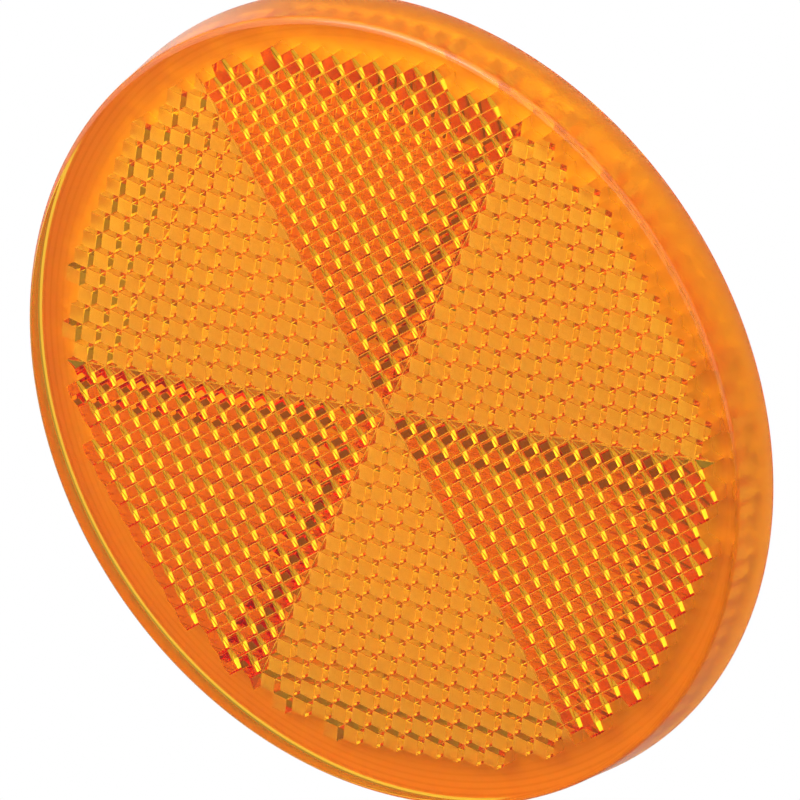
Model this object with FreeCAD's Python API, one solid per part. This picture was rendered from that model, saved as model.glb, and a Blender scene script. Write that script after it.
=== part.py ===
"""Round stick-on reflector: a moulded lens with a field of corner-cube prisms in its back, a back
plate that seals the prisms, and a foam pad that sticks the plate to a flat surface.

The pad's rear face lies in the plane Y = 0, the axis is the Y axis, the lens looks to -Y, Z is up.
"""
import FreeCAD, Part
import math
import os

# Driving dimensions, millimetres
lens_radius = 40.1       # round front of the lens
wall_draft = 0.75        # growth of the lens radius from front to back
rear_chamfer = 0.2       # bevel between side wall and seat
edge_fillet = 0.7        # rounding between front face and side wall
front_wall = 2.2         # solid plastic in front of the shallowest prism edges
prism_pitch = 2.3        # across the flats of one hexagonal prism
prism_clearance = 1.65   # air between prism points and back plate
ring_width = 4.0         # lens edge to the middles of the outermost prisms
plate_inset = 0.5        # back plate short of the lens edge all round
plate_lip = 0.35         # straight part of the plate's edge
plate_thickness = 1.4    # back plate from seat to rear face
pad_margin = 3.0         # foam pad short of the plate's edge
pad_thickness = 0.8      # foam pad

# Cube corners: three square faces at right angles to each other, point to the back
cube_step = prism_pitch / math.sqrt(6)
cube_corner = prism_pitch / math.sqrt(3)
row_step = prism_pitch * math.sqrt(3) / 2
first_row = 2 * cube_corner
field_reach = lens_radius - ring_width

# Planes along the axis
plate_rear = -pad_thickness
lens_seat = plate_rear - plate_thickness
prism_points = lens_seat - prism_clearance
lens_front = prism_points - 2 * cube_step - front_wall
lens_rear_radius = lens_radius + wall_draft
plate_radius = lens_rear_radius - plate_inset


def point(across, up, rise):
    """A point of the prism field, rise counted from the prism points towards the front."""
    return FreeCAD.Vector(across, prism_points - rise, up)


def hexagon(across, up):
    """The six corners of one prism, in turn one and two cube steps above its point."""
    corners = []
    for i in range(6):
        angle = math.radians(30 + 60 * i)
        x = across + cube_corner * math.cos(angle)
        z = up + cube_corner * math.sin(angle)
        corners.append(point(x, z, cube_step * (2 - i % 2)))
    return corners


def cube(across, up):
    """The three faces of one whole prism."""
    tip = point(across, up, 0)
    ring = hexagon(across, up)
    return [[tip, ring[i], ring[(i + 1) % 6], ring[(i + 2) % 6]] for i in (1, 3, 5)]


def sector():
    """The prisms of the 60 degree sector about +Z, with the half faces that close its two sides."""
    faces = []
    for row in range(-1, int(field_reach / row_step) + 1):
        up = first_row + row * row_step
        end = row / 2 * prism_pitch
        for column in range(row + 1):
            across = column * prism_pitch - end
            if math.hypot(across, up) <= field_reach:
                faces += cube(across, up)
        if math.hypot(end, up) <= field_reach:
            right = hexagon(end + prism_pitch, up)
            left = hexagon(-end - prism_pitch, up)
            faces += [[right[1], right[2], right[3]], [left[5], left[0], left[1]]]
    return faces


def field():
    """The sector set six times round the axis, the cubes turned with it."""
    one = sector()
    faces = []
    for k in range(6):
        spin = FreeCAD.Rotation(FreeCAD.Vector(0, 1, 0), 60 * k)
        faces += [[spin.multVec(v) for v in face] for face in one]
    return faces


def rim(faces):
    """The corners of the field's outer boundary, in order."""
    def key(v):
        return round(v.x, 4), round(v.z, 4)

    sides = {}
    for face in faces:
        for a, b in zip(face, face[1:] + face[:1]):
            sides[key(a), key(b)] = a
    after = {a: (b, start) for (a, b), start in sides.items() if (b, a) not in sides}
    here = next(iter(after))
    corners = []
    while len(corners) < len(after):
        here, corner = after[here]
        corners.append(corner)
    return corners


def plane_face(corners):
    return Part.Face(Part.makePolygon(corners + corners[:1]))


def on_seat(v):
    return FreeCAD.Vector(v.x, lens_seat, v.z)


def turned(profile):
    """The profile of (radius, y) edges swept once round the Y axis."""
    return profile.revolve(FreeCAD.Vector(0, 0, 0), FreeCAD.Vector(0, 1, 0), 360)


def lens():
    faces = field()
    edge = rim(faces)
    skin = [plane_face(face) for face in faces]

    # Straight walls from the outermost prisms back to the seat
    for a, b in zip(edge, edge[1:] + edge[:1]):
        skin.append(plane_face([b, a, on_seat(a), on_seat(b)]))

    # Front face, rounded edge, drafted wall and rear bevel
    slope = math.atan2(wall_draft, lens_seat - lens_front)
    corner = FreeCAD.Vector(lens_radius, lens_front, 0)
    rear = FreeCAD.Vector(lens_rear_radius, lens_seat, 0)
    bevel = rear - FreeCAD.Vector(math.sin(slope), math.cos(slope), 0) * rear_chamfer
    seat_edge = rear - FreeCAD.Vector(rear_chamfer, 0, 0)
    setback = edge_fillet * math.tan((math.pi / 2 - slope) / 2)
    start = corner - FreeCAD.Vector(setback, 0, 0)
    finish = corner + FreeCAD.Vector(math.sin(slope), math.cos(slope), 0) * setback
    middle = start + FreeCAD.Vector(0, edge_fillet, 0)
    outward = FreeCAD.Vector(corner - middle).normalize()
    profile = Part.Wire([
        Part.makeLine(FreeCAD.Vector(0, lens_front, 0), start),
        Part.Arc(start, middle + outward * edge_fillet, finish).toShape(),
        Part.makeLine(finish, bevel),
        Part.makeLine(bevel, seat_edge),
    ])
    skin += turned(profile).Faces

    # Flat rear ring round the jagged edge of the field
    axis = FreeCAD.Vector(0, 1, 0)
    outer = Part.Wire(Part.makeCircle(seat_edge.x, FreeCAD.Vector(0, lens_seat, 0), axis))
    seat = [on_seat(v) for v in edge]
    skin.append(Part.makeFace([outer, Part.makePolygon(seat + seat[:1])], "Part::FaceMakerBullseye"))

    shell = Part.Compound(skin)
    shell.sewShape()
    solid = Part.Solid(shell.Shells[0])
    if solid.Volume < 0:
        solid.reverse()
    return solid


def back_plate():
    taper = plate_thickness - plate_lip
    outline = [
        FreeCAD.Vector(0, lens_seat, 0),
        FreeCAD.Vector(plate_radius, lens_seat, 0),
        FreeCAD.Vector(plate_radius, lens_seat + plate_lip, 0),
        FreeCAD.Vector(plate_radius - taper, plate_rear, 0),
        FreeCAD.Vector(0, plate_rear, 0),
    ]
    return turned(plane_face(outline))


def adhesive_pad():
    start = FreeCAD.Vector(0, plate_rear, 0)
    return Part.makeCylinder(plate_radius - pad_margin, pad_thickness, start, FreeCAD.Vector(0, 1, 0))


def main():
    os.makedirs("parts", exist_ok=True)
    for name, shape in (("lens", lens()), ("back_plate", back_plate()), ("adhesive_pad", adhesive_pad())):
        print(name, shape.ShapeType, shape.isValid(), len(shape.Faces), round(shape.Volume, 1))
        shape.exportStep(f"parts/{name}.step")


main()
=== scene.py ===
"""A round amber stick-on reflector: the look of the part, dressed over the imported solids."""

import math

import bmesh
import bpy
import numpy as np
from mathutils import Matrix, Vector
from mathutils.geometry import tessellate_polygon


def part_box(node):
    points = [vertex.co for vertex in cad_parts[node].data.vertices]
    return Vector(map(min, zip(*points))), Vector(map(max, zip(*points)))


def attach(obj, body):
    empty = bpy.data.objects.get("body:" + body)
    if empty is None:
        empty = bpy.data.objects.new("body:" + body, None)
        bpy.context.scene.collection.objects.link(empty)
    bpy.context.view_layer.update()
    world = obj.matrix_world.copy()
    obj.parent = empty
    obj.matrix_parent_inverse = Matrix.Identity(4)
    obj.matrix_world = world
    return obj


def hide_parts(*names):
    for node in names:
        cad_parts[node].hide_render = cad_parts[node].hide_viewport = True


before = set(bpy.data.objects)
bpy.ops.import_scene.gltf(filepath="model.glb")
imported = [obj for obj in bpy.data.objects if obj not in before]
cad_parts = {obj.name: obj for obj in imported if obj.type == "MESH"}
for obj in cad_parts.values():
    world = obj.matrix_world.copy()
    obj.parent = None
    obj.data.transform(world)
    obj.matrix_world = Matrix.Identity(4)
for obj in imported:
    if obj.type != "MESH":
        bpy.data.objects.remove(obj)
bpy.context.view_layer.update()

# Lens, in metres
MM = 0.001
lens_low, lens_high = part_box("lens")
WELD_DEPTH = 0.02 * MM                    # the ring's rear face goes a hair into the plate
LENS_FRONT = lens_low[1]
LENS_SEAT = lens_high[1] + WELD_DEPTH
FRONT_RADIUS = 40.1 * MM
WALL_DRAFT = 0.75 * MM
REAR_CHAMFER = 0.2 * MM
REAR_RADIUS = FRONT_RADIUS + WALL_DRAFT
EDGE_FILLET = 0.7 * MM
FRONT_WALL = 2.2 * MM                     # plastic in front of the shallowest prism edges
PRISM_PITCH = 2.3 * MM                    # across the flats of one hexagonal prism
FIELD_REACH = 36.1 * MM                   # axis to the middles of the outermost prisms
CUBE_DEPTH = 0.95                         # cubes a little shallow, so that the light they send back spreads
EDGE_ROUNDING = 0.06 * MM                 # moulded width of every prism edge
ROUNDING_STEPS = 2
FILLET_POINTS = 10
ROUND_POINTS = 288
CREASE_ANGLE = 40                         # degrees past which an edge is drawn sharp
SAME_POINT_DIGITS = 7                     # corners that agree to a tenth of a micrometre are one point

# Finishes
SATIN_START = FRONT_RADIUS - 0.5 * EDGE_FILLET
SATIN_FULL = FRONT_RADIUS - 0.15 * EDGE_FILLET
SATIN_ROUGHNESS = 0.3
MARK_SPACING = 0.7 * MM                   # rings near the plate's rim
MARK_DEPTH = 0.4                          # how far the grey shows through the spray there
SPRAY_EDGE = 0.2 * MM                     # how far the spray goes round the plate's front edge
GRAIN_SIZE = 0.4 * MM                     # coarser than a real mould's grain, so that it shows
FOAM_CELL = 0.5 * MM
ROLLER_MARK = 4 * MM
ROLLER_RELIEF = 0.1 * MM

# Photograph: where the camera stood, in degrees and metres
PHOTO_PIXELS = 800
FOCAL_PIXELS = 12297
SENSOR = 36.0
CAMERA_AZIMUTH = 34.58
CAMERA_ELEVATION = 21.47
CAMERA_ROLL = -5.1
CAMERA_DISTANCE = 1.1732
CAMERA_AIM = Vector((0.9 * MM, LENS_FRONT + 2.95 * MM, 0.7 * MM))
CAMERA_REACH = 20

# Studio, in degrees and metres
FRONT_LEVEL = 1.48          # surroundings in front of the reflector, as it mirrors them
SHADE_LEVEL = 0.76          # the same behind the camera
SHADE_CONE = (25, 40)       # angles from the camera over which the shade fades out
MATT_LEVEL = 1.0            # what lights matt surfaces directly
ROOM_LEVEL = 0.25           # room behind the reflector
ROOM_EDGE = 0.3             # backward part of a heading, of 1, at which the room has taken over
BACKDROP_LEVEL = 1.0        # backdrop as the lens shows and mirrors it
BACKDROP_CONE = (20, 35)    # angles from the line of sight over which the backdrop ends
SOFTBOX_SIZE = 0.21
SOFTBOX_DISTANCE = 1.1
SOFTBOX_SIDE = -7           # turned to the right of the camera, so minus is left
SOFTBOX_TILT = -4           # turned down from the camera, so minus is up
SOFTBOX_RADIANCE = 1.3
TOP_LAMP_SIZE = 0.8
TOP_LAMP_PLACE = Vector((-0.4, -0.8, 1.0))
TOP_LAMP_RADIANCE = 3.8
FLOOR_DROP = 0.25
FLOOR_HALF = 1.0
FLOOR_BEHIND = 0.3


def linear(hex_colour):
    """An sRGB hex colour as the linear RGBA that shaders take."""
    srgb = np.array([int(hex_colour[i:i + 2], 16) for i in (1, 3, 5)]) / 255
    rgb = np.where(srgb <= 0.04045, srgb / 12.92, ((srgb + 0.055) / 1.055) ** 2.4)
    return (*rgb.tolist(), 1.0)


def add(tree, kind, settings=None, links=None):
    """A node of that kind. In settings, a number or a name with a capital is a socket and the rest are
    properties, which are set first; links takes sockets to the outputs that feed them."""
    node = tree.nodes.new(kind)
    for name, value in sorted((settings or {}).items(), key=lambda pair: str(pair[0]), reverse=True):
        if not isinstance(name, str) or name[0].isupper():
            node.inputs[name].default_value = value
        else:
            setattr(node, name, value)
    for name, output in (links or {}).items():
        tree.links.new(output, node.inputs[name])
    return node


def new_material(name):
    """An empty material of that name and its node tree."""
    material = bpy.data.materials.new(name)
    material.use_nodes = True
    material.node_tree.nodes.clear()
    return material, material.node_tree


def off_axis_radius(tree):
    """Distance of a point of the piece from the reflector's axis."""
    place = add(tree, "ShaderNodeTexCoord").outputs["Object"]
    across = add(tree, "ShaderNodeVectorMath", {"operation": "MULTIPLY", 1: (1, 0, 1)}, {0: place})
    length = add(tree, "ShaderNodeVectorMath", {"operation": "LENGTH"}, {0: across.outputs[0]})
    return length.outputs["Value"]


def amber_acrylic():
    """Injection-moulded amber acrylic from a polished mould: clear, yellow where it is thin and deep orange
    where it is thick. Only the side wall and the outer half of the rounded edge come from a satin mould, so
    what lies behind them blurs."""
    material, tree = new_material("amber_acrylic")
    gloss = add(tree, "ShaderNodeMapRange", {
        "From Min": SATIN_START, "From Max": SATIN_FULL, "To Min": 0.0, "To Max": SATIN_ROUGHNESS},
        {"Value": off_axis_radius(tree)})
    surface = add(tree, "ShaderNodeBsdfPrincipled", {
        "Base Color": linear("#ffffff"), "IOR": 1.55, "Transmission Weight": 1.0},
        {"Roughness": gloss.outputs[0]})
    # Not a colour that is seen: the absorption per metre is the density times 1 - colour. A millimetre takes
    # away next to no red, a twelfth of the green and two fifths of the blue.
    tint = add(tree, "ShaderNodeVolumeAbsorption", {"Color": (0.995, 0.83, 0.0, 1.0), "Density": 520.0})
    add(tree, "ShaderNodeOutputMaterial", links={"Surface": surface.outputs[0], "Volume": tint.outputs[0]})
    return material


def moulded_abs():
    """Light grey moulded ABS, mottled by the grain of its mould. The face towards the prisms is sprayed
    white; turning marks of the mould show through the spray near the rim as faint rings."""
    material, tree = new_material("moulded_abs")
    place = add(tree, "ShaderNodeTexCoord").outputs["Object"]
    grain = add(tree, "ShaderNodeTexNoise", {"Scale": 1 / GRAIN_SIZE, "Detail": 2.0}, {"Vector": place})
    grey = add(tree, "ShaderNodeMix", {
        "data_type": "RGBA", 6: linear("#d0ccc6"), 7: linear("#dcd9d4")}, {0: grain.outputs[0]})

    # Rings: the upper halves of a sine of the radius, which grows from the prisms to the rim
    radius = off_axis_radius(tree)
    swing = add(tree, "ShaderNodeMath", {"operation": "MULTIPLY", 1: 2 * math.pi / MARK_SPACING}, {0: radius})
    mark = add(tree, "ShaderNodeMath", {"operation": "SINE"}, {0: swing.outputs[0]})
    near_rim = add(tree, "ShaderNodeMapRange", {
        "From Min": FIELD_REACH, "From Max": FRONT_RADIUS, "To Max": MARK_DEPTH}, {"Value": radius})
    thin = add(tree, "ShaderNodeMath", {"operation": "MULTIPLY", "use_clamp": True},
               {0: mark.outputs[0], 1: near_rim.outputs[0]})

    # Bare grey past the edge that the spray reaches
    depth = add(tree, "ShaderNodeSeparateXYZ", {}, {0: place})
    behind = add(tree, "ShaderNodeMath", {"operation": "GREATER_THAN", 1: LENS_SEAT + SPRAY_EDGE},
                 {0: depth.outputs["Y"]})
    bare = add(tree, "ShaderNodeMath", {"operation": "MAXIMUM"}, {0: thin.outputs[0], 1: behind.outputs[0]})
    colour = add(tree, "ShaderNodeMix", {"data_type": "RGBA", 6: linear("#fdfcfa")},
                 {0: bare.outputs[0], 7: grey.outputs[2]})
    surface = add(tree, "ShaderNodeBsdfPrincipled", {"Roughness": 0.5, "IOR": 1.54},
                  {"Base Color": colour.outputs[2]})
    add(tree, "ShaderNodeOutputMaterial", links={"Surface": surface.outputs[0]})
    return material


def foam_tape():
    """Closed-cell foam tape: matt, with the open skin of cut cells, whose hollows carry painted shade."""
    material, tree = new_material("foam_tape")
    place = add(tree, "ShaderNodeTexCoord").outputs["Object"]
    cells = add(tree, "ShaderNodeTexVoronoi", {"Scale": 1 / FOAM_CELL}, {"Vector": place})
    relief = add(tree, "ShaderNodeBump", {"Strength": 0.6, "Distance": FOAM_CELL / 5},
                 {"Height": cells.outputs[0]})
    # Painted shade: each cell is drawn darker towards the bottom of its hollow, where the bump dips
    shade = add(tree, "ShaderNodeMapRange", {"To Min": 0.8, "To Max": 1.1}, {"Value": cells.outputs[0]})
    tone = add(tree, "ShaderNodeHueSaturation", {"Color": linear("#55565a")}, {"Value": shade.outputs[0]})
    surface = add(tree, "ShaderNodeBsdfPrincipled", {"Roughness": 0.9, "Specular IOR Level": 0.2},
                  {"Base Color": tone.outputs[0], "Normal": relief.outputs[0]})
    add(tree, "ShaderNodeOutputMaterial", links={"Surface": surface.outputs[0]})
    return material


def painted_board():
    """Board with grey roller paint: matt and slightly uneven."""
    material, tree = new_material("painted_board")
    place = add(tree, "ShaderNodeTexCoord").outputs["Object"]
    roller = add(tree, "ShaderNodeTexNoise", {"Scale": 1 / ROLLER_MARK}, {"Vector": place})
    relief = add(tree, "ShaderNodeBump", {"Strength": 0.1, "Distance": ROLLER_RELIEF},
                 {"Height": roller.outputs[0]})
    surface = add(tree, "ShaderNodeBsdfPrincipled", {"Base Color": linear("#767573"), "Roughness": 0.8},
                  {"Normal": relief.outputs[0]})
    add(tree, "ShaderNodeOutputMaterial", links={"Surface": surface.outputs[0]})
    return material


def prism_sector():
    """One sector of cube corners about +Z. Hexagons of the pitch stand in rows of 1, 2, 3 and so on; each
    has its point on the axis of the hexagon, three corners one cube step in front of it and the three
    between them two steps. Returns the four-cornered faces and the half faces that close the sides."""
    step = CUBE_DEPTH * PRISM_PITCH / math.sqrt(6)
    corner = PRISM_PITCH / math.sqrt(3)
    row_step = PRISM_PITCH * math.sqrt(3) / 2
    last = int(FIELD_REACH / row_step)
    row, column = np.meshgrid(np.arange(-1, last), np.arange(-1, last + 1), indexing="ij")
    across = (column - row / 2) * PRISM_PITCH
    up = 2 * corner + row * row_step
    tips_y = LENS_FRONT + FRONT_WALL + 2 * step

    angle = np.radians(30 + 60 * np.arange(6))
    ring = np.stack(np.broadcast_arrays(
        across[..., None] + corner * np.cos(angle),
        tips_y - step * (2 - np.arange(6) % 2),
        up[..., None] + corner * np.sin(angle)), axis=-1)
    tip = np.stack(np.broadcast_arrays(across, tips_y, up), axis=-1)[..., None, :]
    corners = np.concatenate([ring, tip], axis=-2)

    whole = (column >= 0) & (column <= row) & (np.hypot(across, up) <= FIELD_REACH)
    quads = corners[whole][:, [[6, 1, 2, 3], [6, 3, 4, 5], [6, 5, 0, 1]]].reshape(-1, 4, 3)
    row_end = np.hypot(row / 2 * PRISM_PITCH, up) <= FIELD_REACH
    right = corners[(column == row + 1) & row_end][:, [1, 2, 3]]
    left = corners[(column == -1) & row_end][:, [5, 0, 1]]
    return quads, np.concatenate([right, left])


def six_times(faces):
    """The faces turned about the Y axis by 0, 60, ... 300 degrees."""
    angle = np.radians(60 * np.arange(6))
    zero, one = np.zeros(6), np.ones(6)
    turn = np.array([
        [np.cos(angle), zero, np.sin(angle)],
        [zero, one, zero],
        [-np.sin(angle), zero, np.cos(angle)]])
    return np.einsum("ijk,fcj->kfci", turn, faces).reshape(-1, *faces.shape[1:])


def side_profile():
    """Radius and depth of the points from the seat to the front: the bevel at the seat, the wall that leans
    in by the draft, and the rounded edge as an arc that touches the wall and the front."""
    slope = math.atan2(WALL_DRAFT, LENS_SEAT - LENS_FRONT)
    sweep = np.linspace(-slope, math.pi / 2, FILLET_POINTS)
    setback = EDGE_FILLET * math.tan((math.pi / 2 - slope) / 2)
    bevel = REAR_CHAMFER * np.array([[1, 0], [math.sin(slope), math.cos(slope)]])
    arc_radius = FRONT_RADIUS - setback + EDGE_FILLET * np.cos(sweep)
    arc_depth = LENS_FRONT + EDGE_FILLET - EDGE_FILLET * np.sin(sweep)
    radius = np.concatenate([REAR_RADIUS - bevel[:, 0], arc_radius])
    depth = np.concatenate([LENS_SEAT - bevel[:, 1], arc_depth])
    return radius, depth


def lens_mesh():
    """The prism field, straight walls from its jagged edge back to the seat, the flat rear ring, and the
    side profile carried round the axis and closed by the flat front. Also returns how many of the points
    are the field's; they come first."""
    quads, halves = (six_times(faces) for faces in prism_sector())
    every_corner = np.concatenate([quads.reshape(-1, 3), halves.reshape(-1, 3)])
    spots, index = np.unique(np.round(every_corner, SAME_POINT_DIGITS), axis=0, return_inverse=True)
    index = index.ravel()
    quad_index = index[:quads.shape[0] * 4].reshape(-1, 4)
    half_index = index[quads.shape[0] * 4:].reshape(-1, 3)
    count = len(spots)

    # Sides that belong to one face only are the field's edge; sorted by angle they go once round
    sides = np.concatenate([np.stack([f, np.roll(f, -1, axis=1)], axis=-1).reshape(-1, 2)
                            for f in (quad_index, half_index)])
    single = ~np.isin(sides[:, 0] * count + sides[:, 1], sides[:, 1] * count + sides[:, 0])
    edge = sides[single]
    edge = edge[np.argsort(np.arctan2(spots[edge[:, 0], 2], spots[edge[:, 0], 0]))]
    assert np.array_equal(np.roll(edge[:, 0], -1), edge[:, 1]), "the field's edge isn't one round"
    seat_edge = spots[edge[:, 0]] * (1, 0, 1) + (0, LENS_SEAT, 0)
    n = len(edge)
    here = np.arange(n)
    wall_index = np.stack([edge[:, 1], edge[:, 0], count + here, count + (here + 1) % n], axis=1)

    # Side wall and rounded edge
    radius, depth = side_profile()
    around = np.linspace(0, 2 * math.pi, ROUND_POINTS, endpoint=False)
    rings = np.stack(np.broadcast_arrays(
        radius[:, None] * np.cos(around), depth[:, None], radius[:, None] * np.sin(around)), axis=-1)
    first = count + n
    i, j = np.meshgrid(np.arange(len(radius) - 1), np.arange(ROUND_POINTS), indexing="ij")
    k = (j + 1) % ROUND_POINTS
    low, high = i * ROUND_POINTS, (i + 1) * ROUND_POINTS
    skirt_index = first + np.stack([low + j, low + k, high + k, high + j], axis=-1).reshape(-1, 4)
    front_index = first + (len(radius) - 1) * ROUND_POINTS + np.arange(ROUND_POINTS)

    # Flat ring between the field's edge and the side wall
    outlines = [rings[0][:, [0, 2]].tolist(), seat_edge[:, [0, 2]].tolist()]
    fill = np.array(tessellate_polygon(outlines))
    fill_index = np.where(fill < ROUND_POINTS, first + fill, count + fill - ROUND_POINTS)

    points = np.concatenate([spots, seat_edge, rings.reshape(-1, 3)])
    faces = [f.tolist() for f in (quad_index, half_index, wall_index, skirt_index, fill_index)]
    is_round = (False, False, False, True, False)
    smooth = np.concatenate([np.full(len(f), s) for f, s in zip(faces, is_round)] + [[False]])
    mesh = bpy.data.meshes.new("lens_surface")
    mesh.from_pydata(points.tolist(), [], sum(faces, []) + [front_index.tolist()])
    mesh.polygons.foreach_set("use_smooth", smooth)
    return mesh, count


def turn_outward(mesh):
    """Turns every face outward."""
    work = bmesh.new()
    work.from_mesh(mesh)
    bmesh.ops.recalc_face_normals(work, faces=work.faces)
    work.to_mesh(mesh)
    work.free()


def round_prism_edges(mesh, field_points):
    """Bevel weight 1 on the edges between two prism faces, 0 elsewhere. Both ends of such an edge are
    points of the field, and neither of them is a corner of a wall at the field's edge."""
    ends = np.empty(len(mesh.edges) * 2, dtype=np.int32)
    mesh.edges.foreach_get("vertices", ends)
    ends = ends.reshape(-1, 2)
    low, high = ends.min(axis=1), ends.max(axis=1)
    walled = np.zeros(len(mesh.vertices), dtype=bool)
    walled[low[(low < field_points) & (high >= field_points)]] = True
    chosen = (high < field_points) & ~walled[ends].any(axis=1)
    weight = mesh.attributes.new("bevel_weight_edge", "FLOAT", "EDGE")
    weight.data.foreach_set("value", chosen.astype(np.float32))


def lens():
    """The lens with moulded prism edges, in place of the plain solid."""
    mesh, field_points = lens_mesh()
    turn_outward(mesh)
    round_prism_edges(mesh, field_points)
    mesh.set_sharp_from_angle(angle=math.radians(CREASE_ANGLE))
    mesh.materials.append(amber_acrylic())
    piece = bpy.data.objects.new("prism_lens", mesh)
    bpy.context.collection.objects.link(piece)
    soft = piece.modifiers.new("moulded_edges", "BEVEL")
    soft.width = EDGE_ROUNDING
    soft.segments = ROUNDING_STEPS
    soft.limit_method = "WEIGHT"
    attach(piece, "root")
    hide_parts("lens")


def dress(node, material):
    """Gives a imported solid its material."""
    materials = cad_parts[node].data.materials
    materials.clear()
    materials.append(material)


def camera_turn():
    """The rotation of the camera: its right, up and backward directions are the columns."""
    return (Matrix.Rotation(math.radians(CAMERA_AZIMUTH), 4, "Z")
            @ Matrix.Rotation(math.pi / 2 - math.radians(CAMERA_ELEVATION), 4, "X")
            @ Matrix.Rotation(math.radians(CAMERA_ROLL), 4, "Z"))


def surroundings():
    """White where the camera looks. What the lens mirrors and lets through is a bright front with some shade
    about the camera, and behind the lens a white backdrop in a dim room. Shade and backdrop fade out with
    the angle from the line of sight, and front and rear blend where a heading turns backward. The prisms
    send the camera's own surroundings back, so the shade there is the ground that their dots stand on."""
    world = bpy.data.worlds.new("studio")
    bpy.context.scene.world = world
    world.use_nodes = True
    # Found by the rays that leave the lens and the plate, and not sampled as a lamp
    world.cycles.sampling_method = "NONE"
    tree = world.node_tree
    tree.nodes.clear()
    heading = add(tree, "ShaderNodeTexCoord").outputs["Generated"]
    backward = camera_turn().col[2][:3]
    towards = add(tree, "ShaderNodeVectorMath", {"operation": "DOT_PRODUCT", 1: backward}, {0: heading})
    near, far = (math.cos(math.radians(angle)) for angle in SHADE_CONE)
    front_level = add(tree, "ShaderNodeMapRange", {
        "From Min": far, "From Max": near, "To Min": FRONT_LEVEL, "To Max": SHADE_LEVEL},
        {"Value": towards.outputs["Value"]})
    middle, edge = (-math.cos(math.radians(angle)) for angle in BACKDROP_CONE)
    rear_level = add(tree, "ShaderNodeMapRange", {
        "From Min": edge, "From Max": middle, "To Min": ROOM_LEVEL, "To Max": BACKDROP_LEVEL},
        {"Value": towards.outputs["Value"]})
    depth = add(tree, "ShaderNodeSeparateXYZ", {}, {0: heading})
    behind = add(tree, "ShaderNodeMapRange", {"From Min": 0.0, "From Max": ROOM_EDGE},
                 {"Value": depth.outputs["Y"]})
    seen_level = add(tree, "ShaderNodeMix", {}, {
        0: behind.outputs[0], 2: front_level.outputs[0], 3: rear_level.outputs[0]})

    path = add(tree, "ShaderNodeLightPath")
    by_lens = add(tree, "ShaderNodeMath", {"operation": "ADD", "use_clamp": True}, {
        0: path.outputs["Is Glossy Ray"], 1: path.outputs["Is Transmission Ray"]})
    light_level = add(tree, "ShaderNodeMix", {2: MATT_LEVEL}, {
        0: by_lens.outputs[0], 3: seen_level.outputs[0]})
    level = add(tree, "ShaderNodeMix", {3: 1.0}, {
        0: path.outputs["Is Camera Ray"], 2: light_level.outputs[0]})
    sky = add(tree, "ShaderNodeBackground", {"Color": linear("#ffffff")}, {"Strength": level.outputs[0]})
    add(tree, "ShaderNodeOutputWorld", links={"Surface": sky.outputs[0]})


def soft_lamp(name, size, radiance, place):
    """A square lamp of even brightness, placed by a matrix and shining along its own -Z."""
    lamp = bpy.data.lights.new(name, "AREA")
    lamp.size = size
    lamp.energy = radiance * math.pi * size ** 2
    piece = bpy.data.objects.new(name, lamp)
    bpy.context.collection.objects.link(piece)
    piece.matrix_world = place


def lamps():
    """A small softbox beside the camera, where two of the six parts of each prism send the line of sight,
    which makes the dots, and a large one overhead in front."""
    lean = (Matrix.Rotation(math.radians(SOFTBOX_SIDE), 4, "Y")
            @ Matrix.Rotation(math.radians(SOFTBOX_TILT), 4, "X"))
    away = Matrix.Translation((0, 0, SOFTBOX_DISTANCE))
    beside = Matrix.Translation(CAMERA_AIM) @ camera_turn() @ lean @ away
    soft_lamp("softbox", SOFTBOX_SIZE, SOFTBOX_RADIANCE, beside)
    facing = TOP_LAMP_PLACE.to_track_quat("Z", "Y").to_matrix().to_4x4()
    soft_lamp("top_lamp", TOP_LAMP_SIZE, TOP_LAMP_RADIANCE, Matrix.Translation(TOP_LAMP_PLACE) @ facing)


def floor():
    """A grey floor well below the reflector, which is held up by what it is stuck on: a flat rectangle of
    four corners at one height."""
    x, y = np.meshgrid([-FLOOR_HALF, FLOOR_HALF], [-2 * FLOOR_HALF, FLOOR_BEHIND])
    corners = np.stack([x, y, np.full_like(x, -FLOOR_DROP)], axis=-1).reshape(-1, 3)
    mesh = bpy.data.meshes.new("floor")
    mesh.from_pydata(corners.tolist(), [], [[0, 1, 3, 2]])
    mesh.materials.append(painted_board())
    piece = bpy.data.objects.new("floor", mesh)
    bpy.context.collection.objects.link(piece)


def camera():
    """The photograph's camera, set back from the point that it looks at."""
    data = bpy.data.cameras.new("photo_camera")
    data.sensor_width = SENSOR
    data.lens = FOCAL_PIXELS / PHOTO_PIXELS * SENSOR
    data.clip_end = CAMERA_REACH
    piece = bpy.data.objects.new("photo_camera", data)
    bpy.context.collection.objects.link(piece)
    away = Matrix.Translation((0, 0, CAMERA_DISTANCE))
    piece.matrix_world = Matrix.Translation(CAMERA_AIM) @ camera_turn() @ away
    bpy.context.scene.camera = piece


lens()
dress("back_plate", moulded_abs())
dress("adhesive_pad", foam_tape())
surroundings()
lamps()
floor()
camera()

scene = bpy.context.scene
scene.view_settings.view_transform = "Standard"
# Light bounces many times between the prisms and the plate before it comes out again
scene.cycles.max_bounces = 20
scene.cycles.transmission_bounces = 20
scene.cycles.glossy_bounces = 20
scene.cycles.diffuse_bounces = 12
scene.cycles.blur_glossy = 0.0
# The lens hides the lamps from nearly every point inside it, so few shadow rays are worth their time
scene.cycles.use_light_tree = False
scene.cycles.light_sampling_threshold = 0.5
